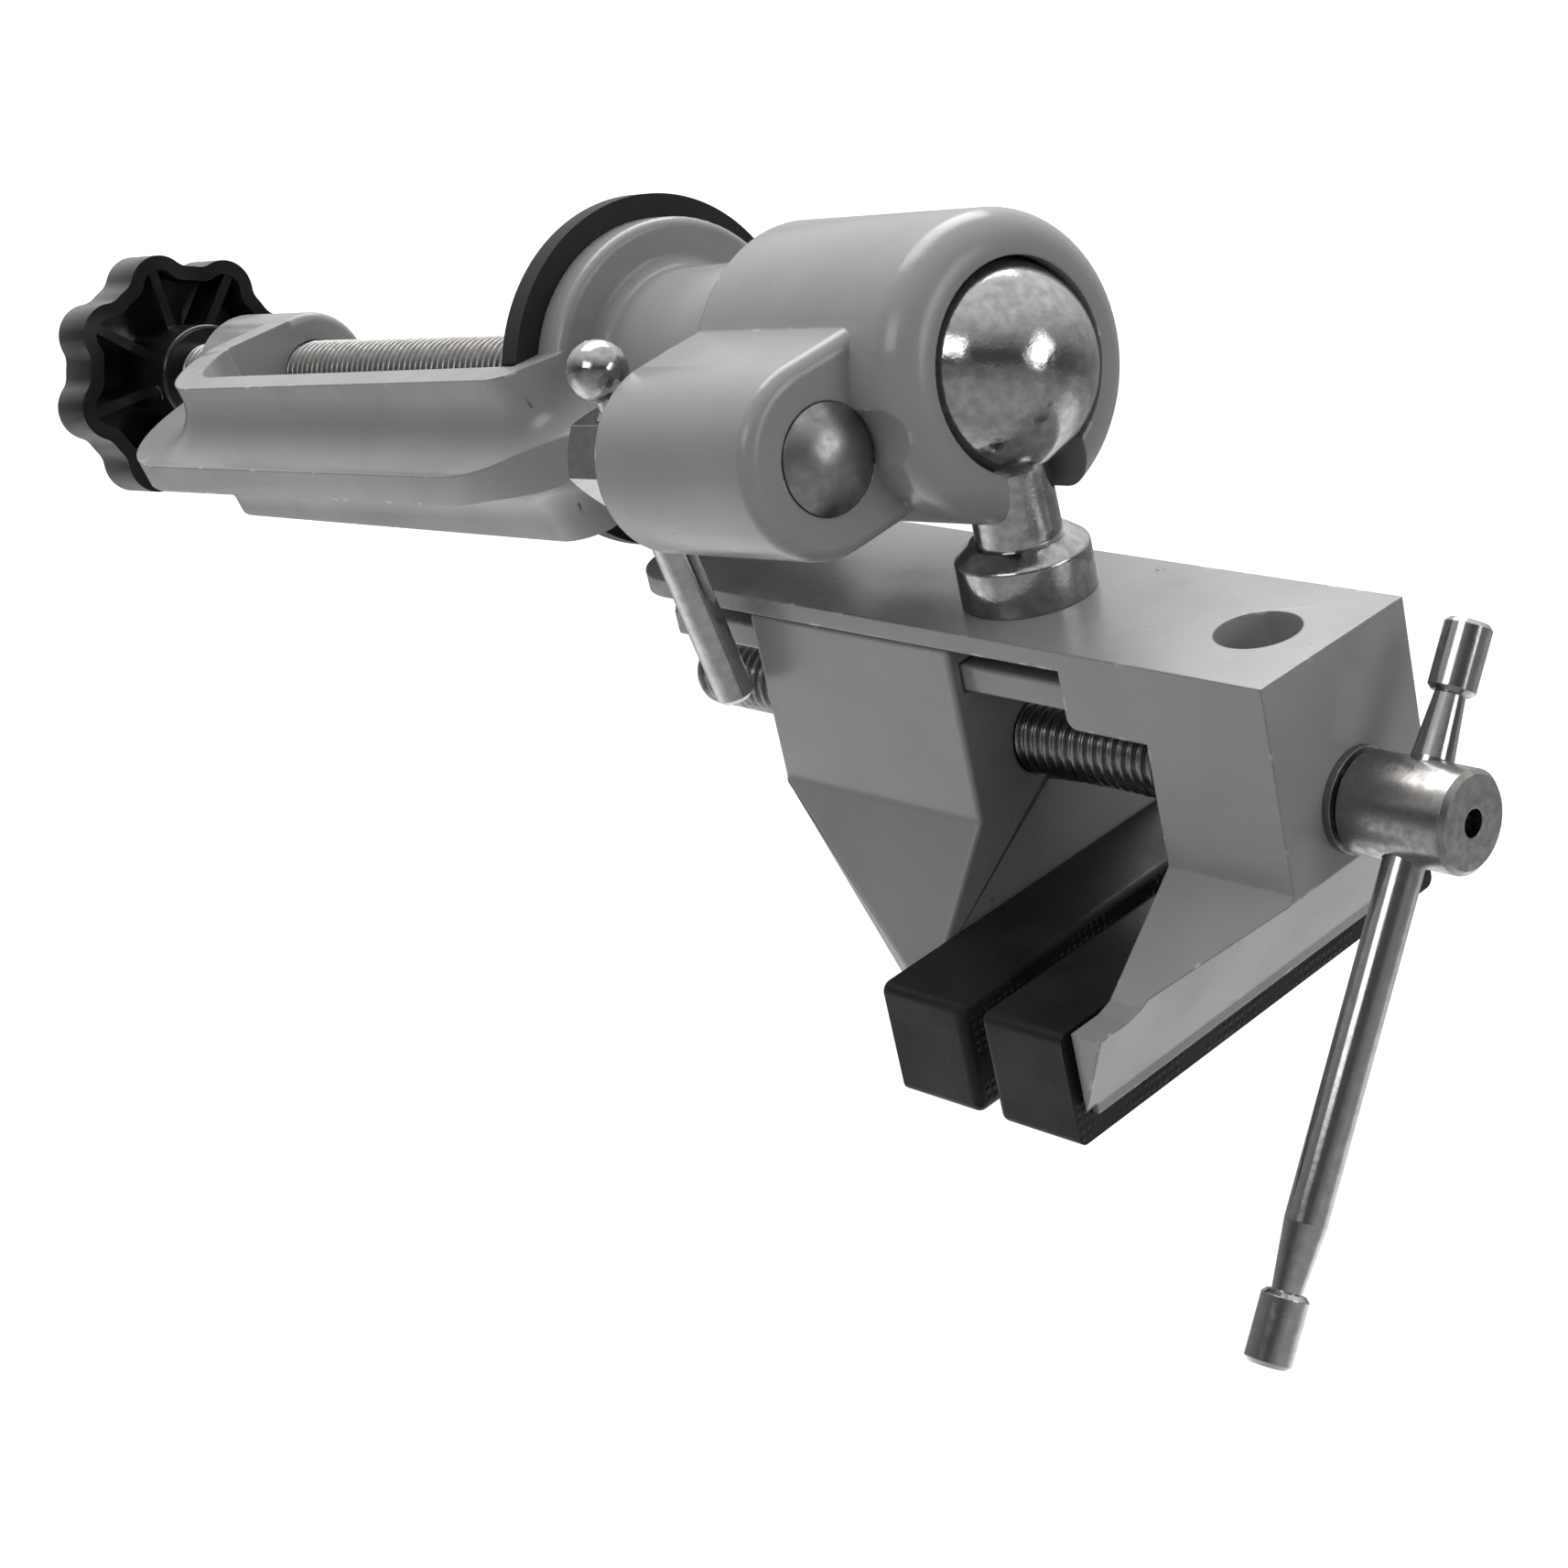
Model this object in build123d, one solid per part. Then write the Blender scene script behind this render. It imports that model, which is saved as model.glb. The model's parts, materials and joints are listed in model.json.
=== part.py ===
"""Ball vise: a clamp-on base with a ball socket, and a small lead-screw vise on the ball stud.

The frame: origin at the centre of the underside of the rubber table pad, +Z up along the socket.
The vise is built in its own frame (x along the lead screw, z away from the ball) and then placed.
"""

import os
from math import cos, radians, sin

from build123d import *

# Clearances
socket_clearance = 0.3
sliding_fit = 0.1
running_fit = 0.08
face_gap = 0.05
rubber_gap = 0.15

# Ball joint
ball_radius = 15.0
stud_neck_radius = 5.6
stud_neck_foot_radius = 6.1
collar_radius = 9.5
collar_height = 6.5
collar_shoulder_radius = 7.0
collar_shoulder_height = 8.5
collar_round = 0.9
ball_to_plate = 32.75
fold_tilt = 6.3
vise_twist = 4.0

# Base casting: pad, flange, neck and socket housing, stacked from the bottom
pad_thickness = 4.0
pad_radius = 26.5
pad_spine_gap = 0.6
flange_thickness = 5.5
flange_radius = 22.9
flange_round = 1.5
neck_length = 31.6
neck_foot_radius = 15.0
neck_top_radius = 16.5
neck_foot_round = 2.5
socket_depth = 37.4
housing_radius = 21.0
housing_round = 5.5
mouth_rise = 6.7
lip_radius = 14.6
slot_radius = 7.25

# Lug at the side of the housing, with its clamp bolt
lug_angle = 6.1
lug_offset = 27.16
lug_radius = 13.5
lug_front_drop = 3.2
lug_round = 2.2
bolt_head_radius = 7.5
bolt_head_rise = 0.3
bolt_dome_height = 2.8
bolt_cone_drop = 4.5
bolt_cone_length = 8.0
bolt_radius = 5.0
bolt_length = 30.6
bore_step_drop = 14.5
slug_radius = 4.0
slug_drop = 9.0
washer_radius = 8.0
washer_thickness = 1.25
nut_across_flats = 13.0
nut_length = 15.8
nut_thread_depth = 5.2
tommy_radius = 2.9
tommy_drop = 10.3
tommy_angle = 97.0
tommy_long_end = 39.9
tommy_chamfer = 0.8
tommy_ball_offset = 13.1
tommy_ball_radius = 4.5
tommy_neck_radius = 2.0
tommy_neck_start = 7.6

# C-frame: a web at the throat with a rib outside it, down the spine and along the arm
spine_angle = 10.0
throat_reach = 23.0
throat_height = 107.3
throat_corner = 10.0
web_thickness = 4.0
arm_thickness = 6.7
web_top_half_width = 14.0
web_foot_half_width = 12.5
arm_end_half_width = 10.8
rib_height = 9.0
rib_thickness = 5.0
rib_corner = 26.0
rib_shoulder_drop = 8.5
rib_shoulder_round = 30.0
rib_root_radius = 12.0
rib_blend = 8.0
web_top_round = 9.0
boss_radius = 11.0
boss_height = 25.3
boss_round = 1.5

# Clamp screw with its swivel plate and knob
screw_radius = 6.0
plate_gap = 14.0
swivel_radius = 11.0
swivel_thickness = 4.0
swivel_boss_radius = 7.8
swivel_height = 8.5
swivel_edge_round = 0.6
tip_ball_radius = 3.6
tip_ball_drop = 5.2
tip_neck_radius = 2.6
screw_shoulder_drop = 9.2
screw_shoulder_land = 1.0
ring_wire_radius = 0.6
ring_radius = 3.9
ring_drop = 7.4
knob_rim_drop = 23.1
knob_depth = 13.3
knob_radius = 23.5
knob_valley_radius = 20.6
knob_lobes = 8
knob_lobe_radius = 6.0
knob_valley_round = 4.0
knob_wall = 2.6
knob_floor = 3.2
knob_hub_radius = 9.6
knob_hub_rise = 7.7
knob_hub_round = 0.8
knob_web_drop = 1.0
knob_web_thickness = 1.8
knob_edge_round = 2.4
screw_end_margin = 2.0
knob_pin_radius = 1.5
knob_pin_drop = 3.8

# Vise body
body_half_width = 14.8
plate_thickness = 2.8
plate_tail = 70.0
plate_tail_round = 9.0
end_wall = 51.7
block_start = 17.4
block_step_depth = 11.2
block_step_round = 1.7
jaw_plane = 31.0
wall_depth = 30.0
pocket_place = 39.7
pocket_radius = 5.85
pocket_depth = 10.0
guide_half_width = 12.5
guide_top = 6.0
guide_thickness = 4.0
guide_tail = 65.5
guide_seat = 13.0
guide_corner = 3.0
guide_pin_radius = 1.5
guide_pin_place = 24.0
guide_pin_offset = 8.5
guide_pin_length = 7.0

# Jaws and their rubber pads
jaw_half_width = 38.0
flare_start_depth = 29.0
flare_half_width = 30.0
flare_depth = 41.3
flare_lip = 2.5
jaw_top_depth = 42.0
ridge_depth = 40.5
ridge_offset = 5.7
tip_depth = 54.0
jaw_pad_front = 15.35
jaw_pad_back = 0.8
jaw_pad_half_width = 39.4
jaw_pad_near = 42.0
jaw_pad_far = 59.0
jaw_pad_wall = 3.4
jaw_pad_round = 1.4
jaw_gap = 3.3
slide_length = 39.7
slide_lift = 0.2
slide_half_width = 31.0
slide_flare_depth = 49.1

# Lead screw and its handle
lead_radius = 5.5
lead_depth = 22.2
lead_tail = 70.8
lead_tail_chamfer = 1.0
lead_thread_end = 28.0
lead_shank_radius = 5.3
lead_head_radius = 6.9
lead_head_length = 16.8
lead_head_chamfer = 0.7
lead_centre_radius = 1.9
lead_centre_depth = 4.5
thrust_washer_radius = 7.2
thrust_washer_thickness = 1.1
clip_radius = 7.4
clip_thickness = 0.9
clip_groove_radius = 4.4
clip_opening = 4.0
handle_radius = 2.8
handle_angle = 51.9
handle_short_end = 25.1
handle_long_end = 72.3
handle_cap_length = 9.5
handle_cap_radius = 3.15
handle_cap_chamfer = 0.6
handle_neck_radius = 2.0
handle_taper_length = 9.0
handle_short_taper_length = 8.6
handle_spigot_length = 6.0

# Fixing screw of the ball stud
stud_screw_radius = 3.0
stud_screw_length = 10.0
stud_hole_depth = 11.0
stud_screw_head_radius = 5.7
stud_screw_socket = 4.0
stud_screw_socket_depth = 1.6

# Heights and places that follow from the sizes above
flange_top = pad_thickness + flange_thickness
housing_rear = flange_top + neck_length
ball_height = housing_rear + socket_depth
mouth_top = ball_height + mouth_rise
lug_front = ball_height - lug_front_drop
arm_face = pad_thickness - throat_height
boss_end = arm_face - boss_height
knob_rim = boss_end - knob_rim_drop
knob_end = knob_rim - knob_depth
slug_height = ball_height - slug_drop
washer_rear = housing_rear - face_gap - washer_thickness
nut_top = washer_rear - face_gap
tommy_height = housing_rear - tommy_drop
lead_head_start = end_wall + face_gap + thrust_washer_thickness + face_gap
lead_end = lead_head_start + lead_head_length
handle_place = (lead_head_start + lead_end) / 2
jaw_middle = jaw_plane - jaw_pad_front - jaw_gap / 2
slide_plane = 2 * jaw_middle - jaw_plane
slide_near = plate_thickness + slide_lift
cup_radius = tip_ball_radius + socket_clearance

BASE = (Align.CENTER, Align.CENTER, Align.MIN)


def rod(radius, low, high):
    """A cylinder on the Z axis between two heights."""
    return Pos(0, 0, low) * Cylinder(radius, high - low, align=BASE)


def block(x, y, z):
    """A box from three (low, high) pairs."""
    size = [high - low for low, high in (x, y, z)]
    middle = [(high + low) / 2 for low, high in (x, y, z)]
    return Pos(*middle) * Box(*size)


def turned(points):
    """A solid of revolution about Z from (radius, height) points."""
    corners = [(radius, 0, height) for radius, height in points]
    return revolve(make_face(Polyline(*corners, close=True)), Axis.Z)


def prism(points, low, high):
    """A polygon of (x, y) points extruded between two heights."""
    return Pos(0, 0, low) * extrude(make_face(Polyline(*points, close=True)), high - low)


def side_prism(points, half_width):
    """A polygon of (x, z) points extruded to both sides of the XZ plane."""
    corners = [(x, 0, z) for x, z in points]
    return extrude(make_face(Polyline(*corners, close=True)), half_width, both=True)


def end_prism(points, low, high):
    """A polygon of (y, z) points extruded along X."""
    corners = [(low, y, z) for y, z in points]
    return extrude(make_face(Polyline(*corners, close=True)), high - low, dir=(1, 0, 0))


def hexagon(across_flats, low, high):
    """A hexagonal prism on the Z axis, with two flats across X."""
    outline = RegularPolygon(across_flats / 2, 6, major_radius=False, rotation=30)
    return Pos(0, 0, low) * extrude(outline, high - low)


def in_lug(shape):
    """Places a shape made on the Z axis onto the axis of the clamp bolt."""
    return Rot(0, 0, lug_angle) * Pos(lug_offset, 0, 0) * shape


def on_tommy(shape):
    """Places a shape made on the Z axis onto the axis of the tommy bar."""
    turn = tommy_angle - lug_angle
    return in_lug(Pos(0, 0, tommy_height) * Rot(0, 0, turn) * Rot(0, 90, 0) * shape)


def vise_plane():
    """The plane of the vise: x along the lead screw, z away from the ball."""
    tilt = radians(fold_tilt)
    twist = radians(vise_twist)
    away = Vector(0, cos(tilt), -sin(tilt))
    along = Vector(-sin(twist), cos(twist) * sin(tilt), cos(twist) * cos(tilt))
    origin = Vector(0, 0, ball_height) + away * ball_to_plate
    return Plane(origin=origin, x_dir=along, z_dir=away)


def in_vise(shape):
    """Places a shape made in the frame of the vise."""
    return vise_plane().location * shape


def along_screw(shape):
    """Turns a shape made on the Z axis onto the axis of the lead screw."""
    return Pos(0, 0, lead_depth) * Rot(0, 90, 0) * shape


def on_handle(shape):
    """Turns a shape made on the Z axis onto the axis of the handle."""
    return Pos(handle_place, 0, lead_depth) * Rot(handle_angle - 90, 0, 0) * shape


def housing():
    """The flange, the neck and the socket housing."""
    flange = fillet(rod(flange_radius, pad_thickness, flange_top).edges().sort_by(Axis.Z)[-1], flange_round)
    neck = turned([
        (0, flange_top), (neck_foot_radius, flange_top), (neck_top_radius, housing_rear), (0, housing_rear),
    ])
    socket = fillet(rod(housing_radius, housing_rear, mouth_top).edges().sort_by(Axis.Z)[-1], housing_round)
    foot = (flange + neck).edges().filter_by(GeomType.CIRCLE).group_by(Axis.Z)[-2]
    return fillet(foot, neck_foot_round) + socket


def lug():
    """The rounded ear at the side of the housing that holds the clamp bolt."""
    ear = Pos(lug_offset, 0) * Circle(lug_radius)
    root = Pos(lug_offset / 2, 0) * Rectangle(lug_offset, 2 * lug_radius)
    body = Pos(0, 0, housing_rear) * extrude(ear + root, lug_front - housing_rear)
    body = fillet(body.edges().group_by(Axis.Z)[-1], lug_round)
    return Rot(0, 0, lug_angle) * body


def web():
    """The flat web of the C-frame, bent once at the foot of the throat."""
    outer = throat_reach + web_thickness
    under = arm_face - arm_thickness
    bend = throat_corner + web_thickness
    profile = Polygon(
        (0, flange_top), (outer, flange_top), (outer, under), (0, under), (0, arm_face),
        (throat_reach, arm_face), (throat_reach, pad_thickness), (0, pad_thickness), align=None,
    )
    profile = fillet(profile.vertices().filter_by_position(Axis.X, outer, outer).sort_by(Axis.Y)[0], bend)
    inner = profile.vertices().filter_by_position(Axis.X, throat_reach, throat_reach).sort_by(Axis.Y)[0]
    profile = fillet(inner, throat_corner)
    shoulder = profile.vertices().filter_by_position(Axis.X, outer, outer).sort_by(Axis.Y)[-1]
    profile = fillet(shoulder, web_top_round)
    swept = extrude(Plane.XZ * profile, web_top_half_width, both=True)
    across = [
        (-web_top_half_width, flange_top), (web_top_half_width, flange_top),
        (web_foot_half_width, arm_face), (web_foot_half_width, under),
        (-web_foot_half_width, under), (-web_foot_half_width, arm_face),
    ]
    plan = [
        (0, -arm_end_half_width), (throat_reach, -web_top_half_width), (outer, -web_top_half_width),
        (outer, web_top_half_width), (throat_reach, web_top_half_width), (0, arm_end_half_width),
    ]
    return swept & end_prism(across, 0, outer) & prism(plan, under, flange_top)


def rib_outline():
    """The side view of the rib, from the neck over the flange and down to the boss."""
    outer = throat_reach + web_thickness + rib_height
    inner = throat_reach + web_thickness / 2
    under = arm_face - arm_thickness / 2
    flange_middle = pad_thickness + flange_thickness / 2
    shoulder_height = flange_top - rib_shoulder_drop
    profile = Polygon(
        (rib_root_radius, flange_middle), (rib_root_radius, shoulder_height + outer - rib_root_radius),
        (outer, shoulder_height), (outer, boss_end), (0, boss_end), (0, under), (inner, under),
        (inner, flange_middle), align=None,
    )
    corner = profile.vertices().filter_by_position(Axis.X, outer, outer).sort_by(Axis.Y)[0]
    profile = fillet(corner, rib_corner)
    shoulder = profile.vertices().filter_by_position(Axis.X, outer, outer).sort_by(Axis.Y)[-1]
    return Plane.XZ * fillet(shoulder, rib_shoulder_round)


def rib_hollow():
    """The hollow blend between one side of the rib and the web: flange, spine, bend and arm."""
    section = Pos(rib_blend / 2, rib_blend / 2) * Rectangle(rib_blend, rib_blend)
    section -= Pos(rib_blend, rib_blend) * Circle(rib_blend)
    half = rib_thickness / 2
    outer = throat_reach + web_thickness
    under = arm_face - arm_thickness
    bend = throat_corner + web_thickness
    low = Pos(outer, half, under + bend)
    high = Pos(outer, half, flange_top - web_top_round)
    spine = low * extrude(section, flange_top - web_top_round - under - bend)
    foot_turn = revolve(low * section, Axis((outer - bend, 0, under + bend), (0, 1, 0)), 90)
    top_centre = (outer - web_top_round, 0, flange_top - web_top_round)
    top_turn = revolve(high * section, Axis(top_centre, (0, -1, 0)), 90)
    arm = Plane(origin=(0, half, under), x_dir=(0, 0, -1), z_dir=(1, 0, 0))
    flange = Plane(origin=(outer - web_top_round, half, flange_top), x_dir=(0, 0, 1), z_dir=(-1, 0, 0))
    root = extrude(flange * section, outer - web_top_round - rib_root_radius)
    return spine + foot_turn + top_turn + extrude(arm * section, outer - bend) + root


def rib():
    """The rib on the outside of the C-frame, blended into the web on both sides."""
    outline = rib_outline()
    hollow = rib_hollow() & extrude(outline, web_top_half_width, both=True)
    return extrude(outline, rib_thickness / 2, both=True) + hollow + mirror(hollow, Plane.XZ)


def c_frame():
    """The C-frame with the boss of the clamp screw at the end of its arm."""
    boss = rod(boss_radius, boss_end, arm_face)
    boss = fillet(boss.edges().filter_by(GeomType.CIRCLE), boss_round)
    return Rot(0, 0, spine_angle) * (web() + rib()) + boss


def neck_slot():
    """The slot in the housing for the neck of the ball stud, with a round bottom."""
    reach = 2 * housing_radius
    bottom = Rot(-90 - fold_tilt, 0, 0) * rod(slot_radius, 0, reach)
    open_top = block((-slot_radius, slot_radius), (0, reach), (0, reach))
    return Pos(0, 0, ball_height) * (bottom + Rot(-fold_tilt, 0, 0) * open_top)


def clamp_passage():
    """The bore of the clamp bolt and the cross hole of the slug."""
    step = lug_front - bore_step_drop
    bore = rod(bolt_head_radius + sliding_fit, step, mouth_top)
    bore += rod(bolt_radius + sliding_fit, housing_rear - face_gap, mouth_top)
    cross = Pos(0, 0, slug_height) * Rot(0, 90, 0) * rod(slug_radius + sliding_fit, 0, lug_offset)
    return in_lug(bore) + Rot(0, 0, lug_angle) * cross


def base_casting():
    """The whole base as one casting."""
    body = housing() + lug() + c_frame()
    body -= Pos(0, 0, ball_height) * Sphere(ball_radius + socket_clearance)
    body -= rod(lip_radius, ball_height, mouth_top + 1)
    body -= neck_slot()
    body -= clamp_passage()
    body -= rod(screw_radius + sliding_fit, boss_end - 1, arm_face + 1)
    return body


def table_pad():
    """The rubber disc under the flange, cut flat beside the spine."""
    disc = rod(pad_radius, 0, pad_thickness - face_gap)
    flat = block((-pad_radius, throat_reach - pad_spine_gap), (-pad_radius, pad_radius), (0, pad_thickness))
    return disc & Rot(0, 0, spine_angle) * flat


def clamp_screw():
    """The clamp screw with the ball tip that carries the pressure plate."""
    face = -plate_gap
    shoulder = face - screw_shoulder_drop
    ball = Pos(0, 0, face - tip_ball_drop) * Sphere(tip_ball_radius)
    neck = rod(tip_neck_radius, shoulder, face - tip_ball_drop)
    shank = rod(screw_radius, knob_end + screw_end_margin, shoulder)
    shank = chamfer(shank.edges().sort_by(Axis.Z)[-1], screw_radius - tip_neck_radius - screw_shoulder_land)
    pin = Pos(0, 0, knob_rim + knob_hub_rise - knob_pin_drop) * Rot(0, 90, 0)
    return ball + neck + shank - pin * rod(knob_pin_radius, -knob_radius, knob_radius)


def pressure_plate():
    """The swivel plate that presses against the table from below."""
    face = -plate_gap
    plate = rod(swivel_radius, face - swivel_thickness, face)
    plate = fillet(plate.edges().sort_by(Axis.Z)[-1], swivel_edge_round)
    plate += rod(swivel_boss_radius, face - swivel_height, face - swivel_thickness)
    centre = face - tip_ball_drop
    plate -= Pos(0, 0, centre) * Sphere(cup_radius)
    plate -= rod(cup_radius, face - swivel_height, centre)
    return plate - Pos(0, 0, face - ring_drop) * Torus(ring_radius, ring_wire_radius + face_gap)


def pressure_plate_ring():
    """The wire ring that holds the ball tip in the pressure plate."""
    return Pos(0, 0, -plate_gap - ring_drop) * Torus(ring_radius, ring_wire_radius)


def lobed(shrink):
    """The star outline of the knob, drawn in by the given amount."""
    outline = Circle(knob_valley_radius - shrink)
    for lobe in PolarLocations(knob_radius - knob_lobe_radius, knob_lobes):
        outline += lobe * Circle(knob_lobe_radius - shrink)
    return fillet(outline.vertices(), knob_valley_round)


def clamp_knob():
    """The star knob, hollow on the side of the frame and ribbed inside."""
    shell = Pos(0, 0, knob_end) * extrude(lobed(0), knob_depth)
    shell = chamfer(shell.edges().group_by(Axis.Z)[0], knob_edge_round)
    shell -= Pos(0, 0, knob_end + knob_floor) * extrude(lobed(knob_wall), knob_depth)
    hub = rod(knob_hub_radius, knob_end + knob_floor, knob_rim + knob_hub_rise)
    hub = fillet(hub.edges().sort_by(Axis.Z)[-1], knob_hub_round)
    for rib_place in PolarLocations(0, knob_lobes):
        arm = block(
            (0, knob_radius - knob_wall),
            (-knob_web_thickness / 2, knob_web_thickness / 2),
            (knob_end + knob_floor, knob_rim - knob_web_drop),
        )
        hub += rib_place * arm
    shell += hub
    shell -= rod(screw_radius, knob_end + screw_end_margin, knob_rim + knob_hub_rise)
    pin = Pos(0, 0, knob_rim + knob_hub_rise - knob_pin_drop) * Rot(0, 90, 0)
    return shell - pin * rod(knob_pin_radius, -knob_radius, knob_radius)


def knob_pin():
    """The cross pin through the hub of the knob and the clamp screw."""
    place = Pos(0, 0, knob_rim + knob_hub_rise - knob_pin_drop) * Rot(0, 90, 0)
    return place * rod(knob_pin_radius, -knob_hub_radius, knob_hub_radius)


def bolt_form(grow):
    """The clamp bolt, grown sideways by a clearance."""
    cone_top = ball_height - bolt_cone_drop
    cone_end = cone_top - bolt_cone_length
    head_edge = lug_front + bolt_head_rise
    tip = cone_end - bolt_length
    return turned([
        (0, tip), (bolt_radius + grow, tip), (bolt_radius + grow, cone_end),
        (bolt_head_radius + grow, cone_top), (bolt_head_radius + grow, head_edge), (0, head_edge),
    ])


def side_clamp_bolt():
    """The clamp bolt with its domed head and the cone that drives the slug."""
    head_edge = lug_front + bolt_head_rise
    dome_radius = (bolt_head_radius**2 + bolt_dome_height**2) / (2 * bolt_dome_height)
    dome = Pos(0, 0, head_edge + bolt_dome_height - dome_radius) * Sphere(dome_radius)
    dome &= rod(2 * bolt_head_radius, head_edge, head_edge + 2 * bolt_dome_height)
    return in_lug(bolt_form(0) + dome)


def clamp_slug():
    """The slug that the cone of the bolt presses against the ball."""
    slug = Pos(0, 0, slug_height) * Rot(0, 90, 0) * rod(slug_radius, 0, lug_offset)
    slug -= Pos(0, 0, ball_height) * Sphere(ball_radius + socket_clearance)
    return Rot(0, 0, lug_angle) * (slug - Pos(lug_offset, 0, 0) * bolt_form(socket_clearance))


def clamp_washer():
    """The washer between the lug and the clamp nut."""
    rear = housing_rear - face_gap
    return in_lug(rod(washer_radius, washer_rear, rear) - rod(bolt_radius + sliding_fit, washer_rear, rear))


def clamp_nut():
    """The long hexagon nut with a blind thread and the cross hole of the tommy bar."""
    low = nut_top - nut_length
    nut = hexagon(nut_across_flats, low, nut_top)
    nut &= turned([
        (0, low), (nut_across_flats / 2, low), (nut_across_flats, low + nut_across_flats / 3),
        (nut_across_flats, nut_top), (0, nut_top),
    ])
    nut = Rot(0, 0, tommy_angle - lug_angle) * nut
    nut = in_lug(nut - rod(bolt_radius + running_fit, nut_top - nut_thread_depth, nut_top))
    return nut - on_tommy(rod(tommy_radius + sliding_fit, -nut_across_flats, nut_across_flats))


def tommy_bar():
    """The sliding bar of the clamp nut."""
    bar = rod(tommy_radius, -tommy_neck_start, tommy_long_end)
    bar = chamfer(bar.edges().sort_by(Axis.Z)[-1], tommy_chamfer)
    bar = chamfer(bar.edges().sort_by(Axis.Z)[0], tommy_radius - tommy_neck_radius)
    return on_tommy(bar + rod(tommy_neck_radius, -tommy_ball_offset, -tommy_neck_start))


def tommy_bar_ball():
    """The ball end pressed onto the tommy bar."""
    ball = Pos(0, 0, -tommy_ball_offset) * Sphere(tommy_ball_radius)
    return on_tommy(ball - rod(tommy_neck_radius, -tommy_ball_offset, 0))


def ball_stud():
    """The ball, its neck and the collar under the plate of the vise."""
    ball_place = -ball_to_plate
    stem = turned([
        (0, ball_place), (stud_neck_radius, ball_place),
        (stud_neck_foot_radius, -collar_shoulder_height), (collar_shoulder_radius, -collar_shoulder_height),
        (collar_radius, -collar_height), (collar_radius, -face_gap), (0, -face_gap),
    ])
    stem = fillet(stem.edges().filter_by(GeomType.CIRCLE).group_by(Axis.Z)[-2], collar_round)
    ball = Pos(0, 0, ball_place) * Sphere(ball_radius)
    return in_vise(stem + ball - rod(stud_screw_radius, -stud_hole_depth, 0))


def stud_screw():
    """The countersunk screw that fastens the ball stud to the plate."""
    top = plate_thickness - face_gap
    cone = stud_screw_head_radius - stud_screw_radius
    screw = turned([
        (0, -stud_screw_length), (stud_screw_radius, -stud_screw_length),
        (stud_screw_radius, top - cone), (stud_screw_head_radius, top), (0, top),
    ])
    return in_vise(screw - hexagon(stud_screw_socket, top - stud_screw_socket_depth, top))


def fixed_outline():
    """The outline of the fixed jaw seen along the lead screw."""
    return [
        (-body_half_width, plate_thickness), (body_half_width, plate_thickness),
        (body_half_width, flare_start_depth), (flare_half_width, flare_depth),
        (flare_half_width + flare_lip, jaw_top_depth), (jaw_half_width, jaw_top_depth),
        (jaw_half_width, tip_depth), (-jaw_half_width, tip_depth),
        (-jaw_half_width, jaw_top_depth), (-flare_half_width - flare_lip, jaw_top_depth),
        (-flare_half_width, flare_depth), (-body_half_width, flare_start_depth),
    ]


def tongue():
    """The bar at the front of a jaw that the rubber pad is pushed onto."""
    inside = rubber_gap
    return block(
        (jaw_plane - jaw_pad_front + jaw_pad_wall + inside, jaw_plane),
        (-jaw_pad_half_width + jaw_pad_wall + inside, jaw_pad_half_width - jaw_pad_wall - inside),
        (jaw_pad_near + jaw_pad_wall + inside, jaw_pad_far - jaw_pad_wall - inside),
    )


def slide_outline():
    """The outline of the sliding jaw seen along the lead screw."""
    half = [
        (body_half_width, plate_thickness), (body_half_width, flare_start_depth),
        (slide_half_width, slide_flare_depth), (slide_half_width, tip_depth),
    ]
    return half + [(-y, z) for y, z in reversed(half)]


def slide_plan():
    """The sliding jaw seen from the ball, as narrow as its block at the tail and wide at its face."""
    back = jaw_plane + slide_length
    half = [(back, body_half_width), (jaw_plane, slide_half_width)]
    return prism([(x, -y) for x, y in half] + half[::-1], 0, jaw_pad_far)


def jaw(length, outline, ridge=()):
    """A jaw with its face towards -X and a back that leans straight, or over a ridge, to its tip."""
    back = jaw_plane + length
    profile = [
        (jaw_plane, plate_thickness), (back, plate_thickness), (back, wall_depth),
        *ridge, (jaw_plane, tip_depth),
    ]
    return side_prism(profile, jaw_half_width) & end_prism(outline, jaw_plane, back)


def guide_bar_form(grow):
    """The guide bar in the frame of the vise, grown by a clearance."""
    end = block_start + guide_seat
    half = guide_half_width + grow
    return block((-guide_tail, end), (-half, half), (guide_top - grow, guide_top + guide_thickness + grow))


def guide_pin_form(radius):
    """The two pins that hold the guide bar in its seat."""
    low = block_step_depth - guide_pin_length
    pins = [Pos(guide_pin_place, side * guide_pin_offset, 0) for side in (-1, 1)]
    return [place * rod(radius, low, block_step_depth) for place in pins]


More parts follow.
